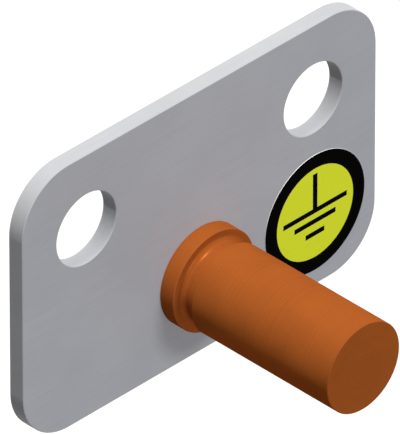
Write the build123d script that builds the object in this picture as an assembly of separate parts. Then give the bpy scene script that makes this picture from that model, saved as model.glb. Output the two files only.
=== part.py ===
from build123d import *

import math
import os

# A small grounding plate: flat sheet with two bolt holes, a round copper stud and an earth label.
# Lengths are in millimetres and angles in degrees.
# The origin lies midway between the two bolt holes, on the plate's back face.
# X runs along the plate, Z runs up it, and the stud points forward along -Y.

# Plate, cut from flat sheet
plate_width = 78.0
plate_height = 50.0
plate_thickness = 3.0
plate_corner_radius = 10.0
plate_edge_break = 0.1

# Bolt holes near the plate's two top corners
bolt_hole_diameter = 13.0
bolt_hole_from_side = 14.0
bolt_hole_from_top = 14.0

# Stud, turned from one bar: a collar on the plate, a relief groove, and the shaft
stud_from_bottom = 15.0
collar_diameter = 18.0
collar_length = 3.0
neck_diameter = 14.0
neck_length = 3.0
shaft_diameter = 16.0
shaft_length = 30.0
neck_fillet_at_collar = 1.0
neck_fillet_at_shaft = 0.4
stud_edge_break = 0.1

# Tail of the stud, which fills the plate's hole and is peened flush into a countersink
spigot_diameter = 12.0
spigot_clearance = 0.05
peened_head_depth = 1.2
countersink_angle = 90.0

# Round earth label, stuck on the plate's front
label_diameter = 22.2
label_thickness = 0.1
label_from_side = 13.6
label_from_bottom = 14.0

# Places on the plate
plate_top_z = bolt_hole_from_top
plate_bottom_z = plate_top_z - plate_height
plate_middle_z = (plate_top_z + plate_bottom_z) / 2
bolt_hole_x = plate_width / 2 - bolt_hole_from_side
stud_z = plate_bottom_z + stud_from_bottom
label_x = plate_width / 2 - label_from_side
label_z = plate_bottom_z + label_from_bottom

# Distances forward of the plate's back face
collar_front = plate_thickness + collar_length
neck_front = collar_front + neck_length
shaft_front = neck_front + shaft_length

# Radii about the stud's axis
collar_radius = collar_diameter / 2
neck_radius = neck_diameter / 2
shaft_radius = shaft_diameter / 2
spigot_radius = spigot_diameter / 2
spigot_hole_radius = spigot_radius + spigot_clearance
peened_head_radius = spigot_radius + peened_head_depth * math.tan(math.radians(countersink_angle / 2))


def make_mounting_plate():
    """The sheet with its bolt holes, broken edges and the countersunk hole that holds the stud."""
    with BuildPart() as plate:
        with BuildSketch(Plane.XZ):
            with Locations((0, plate_middle_z)):
                RectangleRounded(plate_width, plate_height, plate_corner_radius)
            with Locations((-bolt_hole_x, 0), (bolt_hole_x, 0)):
                Circle(bolt_hole_diameter / 2, mode=Mode.SUBTRACT)
        extrude(amount=plate_thickness)
        flat_faces = plate.faces().sort_by(Axis.Y)
        chamfer(flat_faces[0].edges() + flat_faces[-1].edges(), plate_edge_break)
        back_of_stud_hole = Plane(origin=(0, 0, stud_z), x_dir=(1, 0, 0), z_dir=(0, 1, 0))
        with Locations(back_of_stud_hole):
            CounterSinkHole(
                radius=spigot_hole_radius,
                counter_sink_radius=peened_head_radius,
                counter_sink_angle=countersink_angle,
            )
    return plate.part


def make_ground_stud():
    """The turned stud: half of its section, drawn as radius across and distance forward, spun round."""
    section_plane = Plane(origin=(0, 0, stud_z), x_dir=(1, 0, 0), z_dir=(0, 0, -1))
    with BuildPart() as stud:
        with BuildSketch(section_plane) as section:
            with BuildLine():
                Polyline(
                    (0, 0),
                    (peened_head_radius, 0),
                    (spigot_radius, peened_head_depth),
                    (spigot_radius, plate_thickness),
                    (collar_radius, plate_thickness),
                    (collar_radius, collar_front),
                    (neck_radius, collar_front),
                    (neck_radius, neck_front),
                    (shaft_radius, neck_front),
                    (shaft_radius, shaft_front),
                    (0, shaft_front),
                    close=True,
                )
            make_face()

            def corner(radius, forward):
                return section.vertices().sort_by_distance((radius, forward, 0))[0]

            fillet(corner(neck_radius, collar_front), neck_fillet_at_collar)
            fillet(corner(neck_radius, neck_front), neck_fillet_at_shaft)
            for forward in (collar_front, plate_thickness):
                chamfer(corner(collar_radius, forward), stud_edge_break)
            for forward in (neck_front, shaft_front):
                chamfer(corner(shaft_radius, forward), stud_edge_break)
        revolve(axis=Axis((0, 0, stud_z), (0, 1, 0)))
    return stud.part


def make_earth_label():
    """The label's plain disc, lying on the plate's front face."""
    with BuildPart() as label:
        with BuildSketch(Plane.XZ.offset(plate_thickness)):
            with Locations((label_x, label_z)):
                Circle(label_diameter / 2)
        extrude(amount=label_thickness)
    return label.part


pieces = {
    "mounting_plate": make_mounting_plate(),
    "ground_stud": make_ground_stud(),
    "earth_label": make_earth_label(),
}

os.makedirs("parts", exist_ok=True)
for name, piece in pieces.items():
    export_step(piece, f"parts/{name}.step")
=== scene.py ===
"""The looks of a small grounding plate.

It finishes the plate and the stud, makes the printed earth label, and sets a studio around them.
"""

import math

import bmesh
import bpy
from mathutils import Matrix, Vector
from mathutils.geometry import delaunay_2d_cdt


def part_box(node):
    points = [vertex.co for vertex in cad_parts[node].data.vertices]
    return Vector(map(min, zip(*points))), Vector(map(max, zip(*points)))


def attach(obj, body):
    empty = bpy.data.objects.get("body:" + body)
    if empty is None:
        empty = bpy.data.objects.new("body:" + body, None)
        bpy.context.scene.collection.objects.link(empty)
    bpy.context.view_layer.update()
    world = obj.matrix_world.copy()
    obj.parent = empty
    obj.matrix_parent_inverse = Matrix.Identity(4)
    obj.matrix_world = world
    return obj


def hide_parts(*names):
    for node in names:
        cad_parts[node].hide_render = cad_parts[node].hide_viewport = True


bl_info = {
    "name": "Grounding busbar looks",
    "version": (1, 0, 0),
    "blender": (4, 5, 0),
    "location": "3D View > Sidebar > Grounding",
    "description": "Dresses a steel grounding plate, its copper stud and its earth label",
    "category": "Object",
}

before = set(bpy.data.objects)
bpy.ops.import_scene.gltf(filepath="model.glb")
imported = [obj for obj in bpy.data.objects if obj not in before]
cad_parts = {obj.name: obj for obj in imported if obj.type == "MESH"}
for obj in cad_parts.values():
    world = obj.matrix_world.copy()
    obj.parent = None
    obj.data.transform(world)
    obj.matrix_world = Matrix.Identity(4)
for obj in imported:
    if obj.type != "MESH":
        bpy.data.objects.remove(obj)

MM = 0.001
BODY = "root"
PLATE_LOW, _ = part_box("mounting_plate")
STUD_LOW, STUD_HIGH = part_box("ground_stud")
LABEL_LOW, LABEL_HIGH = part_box("earth_label")
STUD_AXIS_HEIGHT = (STUD_LOW.z + STUD_HIGH.z) / 2
LOWEST_POINT = min(PLATE_LOW.z, STUD_LOW.z)

WHITE = (1.0, 1.0, 1.0, 1.0)

# How many layers of finer and finer noise each pattern has
GRAIN_DETAIL = 3.0
CLOUD_DETAIL = 3.0
CRYSTAL_DETAIL = 1.0
RING_DETAIL = 2.0
PATCH_DETAIL = 4.0
SKIN_DETAIL = 2.0

# Most of a mixed noise lies between these values, which stand for the brightest and the dullest.
PLATE_MOTTLE = {"From Min": 0.36, "From Max": 0.64}
STUD_MOTTLE = {"From Min": 0.34, "From Max": 0.66}

# Places of the label's three finishes in its list of materials
INK, FIELD, FILM = range(3)

# Sides of the round film, the angles in degrees that round its rim, and how far down the rim
# the ink reaches, as a share of the rounding
FILM_SIDES = 128
RIM_ANGLES = (0, 30, 60, 90)
INKED_SHARE = 0.6

# Points of the print that are nearer together than this, in metres, are one point.
SAME_PLACE = 1e-8

FLOOR_SIDES = 96

# The nearest and the furthest that the camera sees, in metres
NEAREST_SEEN = 0.1
FURTHEST_SEEN = 20


def linear(hex_colour):
    """An sRGB hex colour such as #9A9BA0 as three linear values, by the sRGB standard's curve."""
    values = []
    for start in (1, 3, 5):
        part = int(hex_colour[start:start + 2], 16) / 255
        values.append(part / 12.92 if part <= 0.04045 else ((part + 0.055) / 1.055) ** 2.4)
    return tuple(values)


def colour_property(name, description, hex_colour):
    """A setting that is a colour."""
    return bpy.props.FloatVectorProperty(
        name=name, description=description, subtype="COLOR", size=3, min=0, max=1,
        default=linear(hex_colour),
    )


def length_property(name, description, metres):
    """A setting that is a length."""
    return bpy.props.FloatProperty(
        name=name, description=description, unit="LENGTH", min=0, precision=5, default=metres
    )


def factor_property(name, description, share):
    """A setting that is a share, from 0 to 1."""
    return bpy.props.FloatProperty(
        name=name, description=description, subtype="FACTOR", min=0, max=1, default=share
    )


def angle_property(name, description, degrees):
    """A setting that is an angle."""
    return bpy.props.FloatProperty(
        name=name, description=description, subtype="ANGLE", default=math.radians(degrees)
    )


class PlateFinish(bpy.types.PropertyGroup):
    """Zinc-plated sheet steel"""

    zinc: colour_property("Zinc", "Colour of the plated surface", "#AEB0B7")
    dull_zinc: colour_property("Dull zinc", "Colour where the passivation is thicker", "#A8AAB1")
    smoothest: factor_property("Smoothest", "Roughness where the plating is brightest", 0.38)
    roughest: factor_property("Roughest", "Roughness where the plating is dullest", 0.5)
    metallic: factor_property("Metallic", "How much the plating shines as bare metal does", 0.04)
    gloss: factor_property("Gloss", "Strength of the mirror-like share of its light", 0.03)
    # Rolling marks are about 0.05 mm wide, too fine to show, so they are drawn coarser.
    grain_length: length_property("Grain length", "Length of the rolling marks", 14 * MM)
    grain_width: length_property("Grain width", "Width of the rolling marks", 0.3 * MM)
    grain_depth: length_property("Grain depth", "Depth of the rolling marks", 0.0014 * MM)
    cloud_width: length_property("Cloud width", "Size of the soft patches in the plating", 9 * MM)
    cloud_share: factor_property("Cloud share", "Weight of the patches over the marks", 0.45)
    # The plating's crystals are a few thousandths of a millimetre, so they too are drawn coarser.
    crystal_width: length_property("Crystal width", "Size of the plating's frosting", 0.12 * MM)
    crystal_depth: length_property("Crystal depth", "Depth of the frosting", 0.001 * MM)


class StudFinish(bpy.types.PropertyGroup):
    """Copper turned on a lathe"""

    copper: colour_property("Copper", "Colour of the freshly turned metal", "#9E5424")
    tarnish: colour_property("Tarnish", "Colour where handling has dulled the copper", "#924C20")
    edge_glint: colour_property("Edge glint", "Colour of the shine at a grazing angle", "#E8955A")
    smoothest: factor_property("Smoothest", "Roughness of the bright copper", 0.28)
    roughest: factor_property("Roughest", "Roughness of the dull copper", 0.4)
    metallic: factor_property("Metallic", "How much the copper shines as polished metal does", 0.1)
    gloss: factor_property("Gloss", "Strength of the mirror-like share of its light", 0.0)
    # The lathe's feed is nearer 0.1 mm, too fine to show, so the rings are drawn coarser.
    feed: length_property("Feed", "Spacing of the turning marks", 0.28 * MM)
    feed_depth: length_property("Feed depth", "Depth of the turning marks", 0.005 * MM)
    tarnish_width: length_property("Tarnish width", "Size of the duller patches", 7 * MM)
    tarnish_share: factor_property("Tarnish share", "Weight of the patches over the rings", 0.5)


class LabelPrint(bpy.types.PropertyGroup):
    """The label's film and the earth sign printed on it"""

    ink: colour_property("Ink", "Colour of the ring and the bars", "#050404")
    field: colour_property("Field", "Colour of the round field inside the ring", "#E1EC35")
    film: colour_property("Film", "Colour of the film, which shows at the cut edge", "#E6E8EA")
    roughness: factor_property("Roughness", "Roughness of the film and its inks", 0.6)
    gloss: factor_property("Gloss", "Strength of the mirror-like share of its light", 0.003)
    field_diameter: length_property("Field diameter", "Inside of the printed ring", 17.04 * MM)
    bar_thickness: length_property("Bar thickness", "Thickness of the three level bars", 0.95 * MM)
    bar_lengths: bpy.props.FloatVectorProperty(
        name="Bar lengths", description="Lengths of the three level bars, from the top",
        unit="LENGTH", size=3, min=0, default=(14.2 * MM, 9.2 * MM, 4.2 * MM),
    )
    bar_heights: bpy.props.FloatVectorProperty(
        name="Bar heights", description="Heights of the three level bars over the label's centre",
        unit="LENGTH", size=3, default=(0.40 * MM, -1.59 * MM, -3.95 * MM),
    )
    upright_thickness: length_property(
        "Upright thickness", "Thickness of the upright bar", 1.02 * MM
    )
    upright_top: length_property(
        "Upright top", "Top of the upright bar over the label's centre", 7.49 * MM
    )
    rim_round: length_property("Rim round", "Rounding of the film's cut edge", 0.03 * MM)
    skin_width: length_property("Skin width", "Size of the film's faint unevenness", 0.6 * MM)
    skin_depth: length_property("Skin depth", "Depth of the unevenness", 0.0005 * MM)
    skin_shade: factor_property("Skin shade", "Brightness of the film's duller spots", 0.96)


class Studio(bpy.types.PropertyGroup):
    """Floor, light and camera"""

    floor_drop: length_property("Floor drop", "Height of the held part over the floor", 0.16)
    floor_radius: length_property("Floor radius", "Radius of the round floor", 3.0)
    floor_paint: colour_property("Floor paint", "Colour of the floor's paint", "#C8C8C8")
    floor_glow: factor_property("Floor glow", "Lifts the floor that the eye sees to white", 0.16)
    floor_bounce: colour_property(
        "Floor bounce", "Colour that the floor throws back at the part", "#4A4A4A"
    )
    ambient: factor_property("Ambient", "Light that comes from all sides", 0.17)
    camera_turn: angle_property(
        "Camera turn", "Turn of the camera to the left of the part's front", 44.861
    )
    camera_rise: angle_property("Camera rise", "Rise of the camera over the horizon", 35.248)
    camera_distance: length_property(
        "Camera distance", "From the camera to the point it looks at", 2.8317
    )
    look_at: bpy.props.FloatVectorProperty(
        name="Look at", description="Point in the middle of the picture",
        subtype="TRANSLATION", size=3, default=(-4.84 * MM, -7.74 * MM, -5.54 * MM),
    )
    lens: bpy.props.FloatProperty(
        name="Lens", description="Focal length, long enough to look drawn without perspective",
        unit="CAMERA", min=50, default=1500,
    )


def add_node(tree, kind, inputs=None, **settings):
    """A shader node with its settings. Each input is a value, or the socket that feeds it."""
    node = tree.nodes.new("ShaderNode" + kind)
    for name, value in settings.items():
        setattr(node, name, value)
    for name, value in (inputs or {}).items():
        if isinstance(value, bpy.types.NodeSocket):
            tree.links.new(value, node.inputs[name])
        else:
            node.inputs[name].default_value = value
    return node


def new_material(name):
    """An empty material and its tree of nodes."""
    material = bpy.data.materials.new(name)
    material.use_nodes = True
    material.node_tree.nodes.clear()
    return material, material.node_tree


# Cold-rolled steel sheet, barrel-plated with zinc and dulled by its clear passivation.
# To the eye it is a satin, faintly blue grey, with soft clouds and thin marks along the sheet.
def zinc_plated_steel(finish):
    """The plate's material."""
    material, tree = new_material("cold_rolled_steel_zinc_plated")
    place = add_node(tree, "TexCoord")
    along_sheet = add_node(tree, "Mapping", {
        "Vector": place.outputs["Object"],
        "Scale": (1 / finish.grain_length, 1 / finish.grain_width, 1 / finish.grain_width),
    })
    grain = add_node(tree, "TexNoise", {
        "Vector": along_sheet.outputs["Vector"], "Scale": 1.0, "Detail": GRAIN_DETAIL,
    })
    clouds = add_node(tree, "TexNoise", {
        "Vector": place.outputs["Object"], "Scale": 1 / finish.cloud_width, "Detail": CLOUD_DETAIL,
    })
    crystals = add_node(tree, "TexNoise", {
        "Vector": place.outputs["Object"],
        "Scale": 1 / finish.crystal_width,
        "Detail": CRYSTAL_DETAIL,
    })
    mottle = add_node(tree, "Mix", {
        "Factor": finish.cloud_share, "A": grain.outputs["Fac"], "B": clouds.outputs["Fac"],
    }, data_type="FLOAT")
    dullness = add_node(tree, "MapRange", {"Value": mottle.outputs["Result"], **PLATE_MOTTLE})
    tone = add_node(tree, "Mix", {
        "Factor": dullness.outputs["Result"],
        "A": (*finish.zinc, 1.0),
        "B": (*finish.dull_zinc, 1.0),
    }, data_type="RGBA")
    rough = add_node(tree, "MapRange", {
        "Value": dullness.outputs["Result"], "To Min": finish.smoothest, "To Max": finish.roughest,
    })
    frosting = add_node(tree, "Bump", {
        "Height": crystals.outputs["Fac"], "Distance": finish.crystal_depth,
    })
    marks = add_node(tree, "Bump", {
        "Height": grain.outputs["Fac"],
        "Distance": finish.grain_depth,
        "Normal": frosting.outputs["Normal"],
    })
    # Polished metal would have a Metallic of 1. This plating scatters nearly all its light, so the
    # value and the specular level come down until the plate has the even grey that it shows.
    surface = add_node(tree, "BsdfPrincipled", {
        "Base Color": tone.outputs["Result"],
        "Metallic": finish.metallic,
        "Roughness": rough.outputs["Result"],
        "Specular IOR Level": finish.gloss,
        "Normal": marks.outputs["Normal"],
    })
    add_node(tree, "OutputMaterial", {"Surface": surface.outputs["BSDF"]})
    return material


# Copper bar turned on a lathe and left bare.
# To the eye it is a warm brown-orange, close to matte, with fine rings from the tool, duller
# patches from handling, and a small bright glint where the groove curves.
def turned_copper(finish):
    """The stud's material."""
    material, tree = new_material("copper_bar_turned")
    place = add_node(tree, "TexCoord")
    centred = add_node(tree, "Mapping", {
        "Vector": place.outputs["Object"], "Location": (0.0, 0.0, -STUD_AXIS_HEIGHT),
    })
    parts = add_node(tree, "SeparateXYZ", {"Vector": centred.outputs["Vector"]})
    across = add_node(tree, "CombineXYZ", {"X": parts.outputs["X"], "Z": parts.outputs["Z"]})
    radius = add_node(tree, "VectorMath", {0: across.outputs["Vector"]}, operation="LENGTH")
    # The tool moves along the shaft and across the ends, so its marks follow both.
    tool_travel = add_node(tree, "Math", {
        0: parts.outputs["Y"], 1: radius.outputs["Value"],
    }, operation="SUBTRACT")
    rings = add_node(tree, "TexNoise", {
        "W": tool_travel.outputs["Value"], "Scale": 1 / finish.feed, "Detail": RING_DETAIL,
    }, noise_dimensions="1D")
    patches = add_node(tree, "TexNoise", {
        "Vector": place.outputs["Object"],
        "Scale": 1 / finish.tarnish_width,
        "Detail": PATCH_DETAIL,
    })
    mottle = add_node(tree, "Mix", {
        "Factor": finish.tarnish_share, "A": rings.outputs["Fac"], "B": patches.outputs["Fac"],
    }, data_type="FLOAT")
    dullness = add_node(tree, "MapRange", {"Value": mottle.outputs["Result"], **STUD_MOTTLE})
    tone = add_node(tree, "Mix", {
        "Factor": dullness.outputs["Result"],
        "A": (*finish.copper, 1.0),
        "B": (*finish.tarnish, 1.0),
    }, data_type="RGBA")
    rough = add_node(tree, "MapRange", {
        "Value": dullness.outputs["Result"], "To Min": finish.smoothest, "To Max": finish.roughest,
    })
    marks = add_node(tree, "Bump", {
        "Height": rings.outputs["Fac"], "Distance": finish.feed_depth,
    })
    # Polished copper would have a Metallic of 1. This bar is close to matte and its underside is
    # dark, so the value comes down, and the specular level is 0 to keep white off the dark side.
    surface = add_node(tree, "BsdfPrincipled", {
        "Base Color": tone.outputs["Result"],
        "Metallic": finish.metallic,
        "Roughness": rough.outputs["Result"],
        "Specular IOR Level": finish.gloss,
        "Specular Tint": (*finish.edge_glint, 1.0),
        "Normal": marks.outputs["Normal"],
    })
    add_node(tree, "OutputMaterial", {"Surface": surface.outputs["BSDF"]})
    return material


# Calendered vinyl film, screen printed with flat inks.
# To the eye each colour is even and hardly shines, with the film's faint unevenness under it.
def matte_vinyl(name, colour, sign):
    """The material of one of the label's inks, or of its bare film."""
    material, tree = new_material(name)
    place = add_node(tree, "TexCoord")
    skin = add_node(tree, "TexNoise", {
        "Vector": place.outputs["Object"], "Scale": 1 / sign.skin_width, "Detail": SKIN_DETAIL,
    })
    tone = add_node(tree, "Mix", {
        "Factor": skin.outputs["Fac"],
        "A": (*colour, 1.0),
        "B": (*[sign.skin_shade * part for part in colour], 1.0),
    }, data_type="RGBA")
    marks = add_node(tree, "Bump", {
        "Height": skin.outputs["Fac"], "Distance": sign.skin_depth,
    })
    surface = add_node(tree, "BsdfPrincipled", {
        "Base Color": tone.outputs["Result"],
        "Roughness": sign.roughness,
        "Specular IOR Level": sign.gloss,
        "Normal": marks.outputs["Normal"],
    })
    add_node(tree, "OutputMaterial", {"Surface": surface.outputs["BSDF"]})
    return material


def finish_node(name, material):
    """Gives a CAD node, whose shape is right as it is, its finish."""
    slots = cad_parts[name].data.materials
    slots.clear()
    slots.append(material)


class GROUNDING_OT_finish_plate(bpy.types.Operator):
    """Gives the mounting plate its zinc plating"""

    bl_idname = "grounding.finish_plate"
    bl_label = "Finish the plate"

    def execute(self, context):
        finish_node("mounting_plate", zinc_plated_steel(context.scene.grounding_plate))
        return {"FINISHED"}


class GROUNDING_OT_finish_stud(bpy.types.Operator):
    """Gives the ground stud its turned copper"""

    bl_idname = "grounding.finish_stud"
    bl_label = "Finish the stud"

    def execute(self, context):
        finish_node("ground_stud", turned_copper(context.scene.grounding_stud))
        return {"FINISHED"}


def film_profile(sign):
    """The film's section from the ring's inner edge to the back, as radius and Y."""
    outer = (LABEL_HIGH.x - LABEL_LOW.x) / 2
    front, back = LABEL_LOW.y, LABEL_HIGH.y
    rounding = sign.rim_round
    profile = [(sign.field_diameter / 2, front)]
    for degrees in RIM_ANGLES:
        turn = math.radians(degrees)
        profile.append((
            outer - rounding + rounding * math.sin(turn),
            front + rounding - rounding * math.cos(turn),
        ))
    profile.append((outer, back))
    return profile


def spin_film(mesh, sign):
    """Spins the film's section round the Y axis. The ring's inner edge is open, and is returned."""
    turns = [math.tau * n / FILM_SIDES for n in range(FILM_SIDES)]
    circles = []
    for radius, y in film_profile(sign):
        circles.append([
            mesh.verts.new((radius * math.cos(turn), y, radius * math.sin(turn))) for turn in turns
        ])
    for inner, wider in zip(circles, circles[1:]):
        for n in range(FILM_SIDES):
            face = mesh.faces.new((inner[n], inner[n - 1], wider[n - 1], wider[n]))
            depth = face.calc_center_median().y - LABEL_LOW.y
            face.material_index = INK if depth < INKED_SHARE * sign.rim_round else FILM
    mesh.faces.new(circles[-1]).material_index = FILM
    return circles[0]


def sign_bars(sign):
    """The earth sign's bars, each as left, right, bottom and top from the label's centre."""
    half = sign.bar_thickness / 2
    bars = [
        (-length / 2, length / 2, height - half, height + half)
        for length, height in zip(sign.bar_lengths, sign.bar_heights)
    ]
    half_upright = sign.upright_thickness / 2
    bars.append((-half_upright, half_upright, sign.bar_heights[0] + half, sign.upright_top))
    return bars


def in_a_bar(point, bars):
    """Whether a point of the label's front lies in the earth sign."""
    return any(
        left < point.x < right and bottom < point.z < top for left, right, bottom, top in bars
    )


def fill_ring(mesh, inner_edge, bars):
    """Fills the ring with triangles that follow the bars' edges, each in its own colour."""
    points = [Vector((corner.co.x, corner.co.z)) for corner in inner_edge]
    loops = [range(len(points))]
    for left, right, bottom, top in bars:
        outline = [(left, bottom), (right, bottom), (right, top), (left, top)]
        loops.append(range(len(points), len(points) + len(outline)))
        points += [Vector(corner) for corner in outline]
    lines = [(loop[n - 1], loop[n]) for loop in loops for n in range(len(loop))]
    whole_area, no_faces = 0, []
    places, _, triangles, sources, _, _ = delaunay_2d_cdt(
        points, lines, no_faces, whole_area, SAME_PLACE
    )
    corners = []
    for place, source in zip(places, sources):
        on_edge = [inner_edge[n] for n in source if n < len(inner_edge)]
        corners.append(on_edge[0] if on_edge else mesh.verts.new((place.x, LABEL_LOW.y, place.y)))
    for triangle in triangles:
        face = mesh.faces.new([corners[n] for n in triangle])
        face.material_index = INK if in_a_bar(face.calc_center_median(), bars) else FIELD


def label_film(sign):
    """The closed film, with the print as faces of its front, in its place on the plate."""
    mesh = bmesh.new()
    inner_edge = spin_film(mesh, sign)
    fill_ring(mesh, inner_edge, sign_bars(sign))
    bmesh.ops.recalc_face_normals(mesh, faces=mesh.faces)
    centre = (LABEL_LOW + LABEL_HIGH) / 2
    bmesh.ops.translate(mesh, verts=mesh.verts, vec=(centre.x, 0, centre.z))
    film = bpy.data.meshes.new("earth_label_film")
    mesh.to_mesh(film)
    mesh.free()
    return film


class GROUNDING_OT_make_label(bpy.types.Operator):
    """Makes the earth label, which stands for the plain disc of the CAD model"""

    bl_idname = "grounding.make_label"
    bl_label = "Make the label"

    def execute(self, context):
        sign = context.scene.grounding_label
        label = bpy.data.objects.new("earth_label_printed", label_film(sign))
        context.scene.collection.objects.link(label)
        finishes = {
            INK: ("vinyl_printed_black", sign.ink),
            FIELD: ("vinyl_printed_yellow_green", sign.field),
            FILM: ("vinyl_film_white", sign.film),
        }
        for slot in sorted(finishes):
            name, colour = finishes[slot]
            label.data.materials.append(matte_vinyl(name, colour, sign))
        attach(label, BODY)
        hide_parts("earth_label")
        return {"FINISHED"}


def seen_directly(tree):
    """1 for what the camera, a gloss or a glass shows, and 0 for what lights the part."""
    path = add_node(tree, "LightPath")
    either = add_node(tree, "Math", {
        0: path.outputs["Is Camera Ray"], 1: path.outputs["Is Glossy Ray"],
    }, operation="MAXIMUM")
    seen = add_node(tree, "Math", {
        0: either.outputs[0], 1: path.outputs["Is Transmission Ray"],
    }, operation="MAXIMUM")
    return seen.outputs[0]


# Board rolled with matte emulsion paint.
# To the eye it is plain white, with a soft grey where the part's shadow falls.
def painted_board(stage):
    """The floor's material."""
    material, tree = new_material("board_painted_white")
    paint = add_node(tree, "BsdfDiffuse", {"Color": (*stage.floor_paint, 1.0)})
    glow = add_node(tree, "Emission", {"Color": WHITE, "Strength": stage.floor_glow})
    seen = add_node(tree, "AddShader", {0: paint.outputs["BSDF"], 1: glow.outputs["Emission"]})
    bounce = add_node(tree, "BsdfDiffuse", {"Color": (*stage.floor_bounce, 1.0)})
    shown = add_node(tree, "MixShader", {
        "Fac": seen_directly(tree), 1: bounce.outputs["BSDF"], 2: seen.outputs["Shader"],
    })
    # Only the top is painted. The underside is clear, so that the part shows from below too.
    side = add_node(tree, "NewGeometry")
    clear = add_node(tree, "BsdfTransparent", {"Color": WHITE})
    one_sided = add_node(tree, "MixShader", {
        "Fac": side.outputs["Backfacing"], 1: shown.outputs["Shader"], 2: clear.outputs["BSDF"],
    })
    add_node(tree, "OutputMaterial", {"Surface": one_sided.outputs["Shader"]})
    return material


def make_floor(stage):
    """A round painted board under the part."""
    mesh = bmesh.new()
    bmesh.ops.create_circle(mesh, cap_ends=True, segments=FLOOR_SIDES, radius=stage.floor_radius)
    height = LOWEST_POINT - stage.floor_drop
    bmesh.ops.translate(mesh, verts=mesh.verts, vec=(0, 0, height))
    disc = bpy.data.meshes.new("studio_floor")
    mesh.to_mesh(disc)
    mesh.free()
    disc.materials.append(painted_board(stage))
    floor = bpy.data.objects.new("studio_floor", disc)
    bpy.context.scene.collection.objects.link(floor)


def make_world(stage):
    """White to the eye, and a weaker even light on the part."""
    world = bpy.data.worlds.new("studio")
    world.use_nodes = True
    tree = world.node_tree
    tree.nodes.clear()
    ambient = add_node(tree, "Background", {"Color": WHITE, "Strength": stage.ambient})
    seen = add_node(tree, "Background", {"Color": WHITE, "Strength": 1.0})
    shown = add_node(tree, "MixShader", {
        "Fac": seen_directly(tree),
        1: ambient.outputs["Background"],
        2: seen.outputs["Background"],
    })
    add_node(tree, "OutputWorld", {"Surface": shown.outputs["Shader"]})
    bpy.context.scene.world = world


# Each lamp's name, the direction to it, its colour, strength and spread in degrees, and whether
# it casts shadows. One that casts none stands for the light that a white room sends into holes.
LAMPS = (
    ("overhead_key", (-0.08, 0.0, 1.0), "#FFFDF5", 1.0, 10, True),
    ("overhead_fill", (-0.08, 0.0, 1.0), "#FFFDF5", 3.45, 10, False),
    ("front_key", (0.04, -1.0, 0.18), "#FFFFFF", 0.8, 6, True),
    ("front_fill", (0.0, -1.0, 0.0), "#FFFFFF", 1.03, 3, False),
    ("rear", (0.1, 1.0, 0.1), "#FFFFFF", 1.6, 20, True),
    ("right", (1.0, 0.3, 0.0), "#FFFFFF", 0.8, 20, True),
    ("left", (-1.0, 0.0, 0.1), "#FFFFFF", 0.16, 10, True),
)


def make_lamps():
    """Broad, even lights from far off, such as large softboxes give a small part."""
    for name, towards_lamp, colour, strength, spread, casts_shadows in LAMPS:
        light = bpy.data.lights.new(name, "SUN")
        light.color = linear(colour)
        light.energy = strength
        light.angle = math.radians(spread)
        light.use_shadow = casts_shadows
        lamp = bpy.data.objects.new(name, light)
        lamp.rotation_euler = Vector(towards_lamp).to_track_quat("Z", "Y").to_euler()
        bpy.context.scene.collection.objects.link(lamp)


def make_camera(stage):
    """The camera at the left of the part's front, over it, and far off with a long lens."""
    turn, rise = -stage.camera_turn, stage.camera_rise
    towards_camera = Vector((
        math.sin(turn) * math.cos(rise), -math.cos(turn) * math.cos(rise), math.sin(rise)
    ))
    view = bpy.data.cameras.new("camera")
    view.lens = stage.lens
    view.clip_start = NEAREST_SEEN
    view.clip_end = FURTHEST_SEEN
    camera = bpy.data.objects.new("camera", view)
    camera.location = Vector(stage.look_at) + towards_camera * stage.camera_distance
    camera.rotation_euler = towards_camera.to_track_quat("Z", "Y").to_euler()
    bpy.context.scene.collection.objects.link(camera)
    bpy.context.scene.camera = camera


class GROUNDING_OT_set_stage(bpy.types.Operator):
    """Sets the floor, the light and the camera"""

    bl_idname = "grounding.set_stage"
    bl_label = "Set the stage"

    def execute(self, context):
        stage = context.scene.grounding_studio
        make_floor(stage)
        make_world(stage)
        make_lamps()
        make_camera(stage)
        context.scene.view_settings.view_transform = "Standard"
        return {"FINISHED"}


class GROUNDING_PT_sidebar(bpy.types.Panel):
    """Steps that dress the grounding plate, each under its own settings"""

    bl_label = "Grounding busbar"
    bl_space_type = "VIEW_3D"
    bl_region_type = "UI"
    bl_category = "Grounding"

    def draw(self, context):
        for (name, group), step in zip(SETTINGS.items(), STEPS):
            column = self.layout.box().column()
            for setting in group.__annotations__:
                column.prop(getattr(context.scene, name), setting)
            column.operator(step.bl_idname)


# The steps in their order, and each step's settings in the same order
STEPS = (
    GROUNDING_OT_finish_plate,
    GROUNDING_OT_finish_stud,
    GROUNDING_OT_make_label,
    GROUNDING_OT_set_stage,
)
SETTINGS = {
    "grounding_plate": PlateFinish,
    "grounding_stud": StudFinish,
    "grounding_label": LabelPrint,
    "grounding_studio": Studio,
}
CLASSES = (*SETTINGS.values(), *STEPS, GROUNDING_PT_sidebar)


def register():
    """Registers the classes, and gives each scene the settings."""
    for cls in CLASSES:
        bpy.utils.register_class(cls)
    for name, group in SETTINGS.items():
        setattr(bpy.types.Scene, name, bpy.props.PointerProperty(type=group))


def unregister():
    """Takes back what register gives."""
    for name in SETTINGS:
        delattr(bpy.types.Scene, name)
    for cls in reversed(CLASSES):
        bpy.utils.unregister_class(cls)


def main():
    """Dresses the part."""
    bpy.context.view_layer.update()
    register()
    bpy.ops.grounding.finish_plate()
    bpy.ops.grounding.finish_stud()
    bpy.ops.grounding.make_label()
    bpy.ops.grounding.set_stage()


if __name__ == "__main__":
    main()
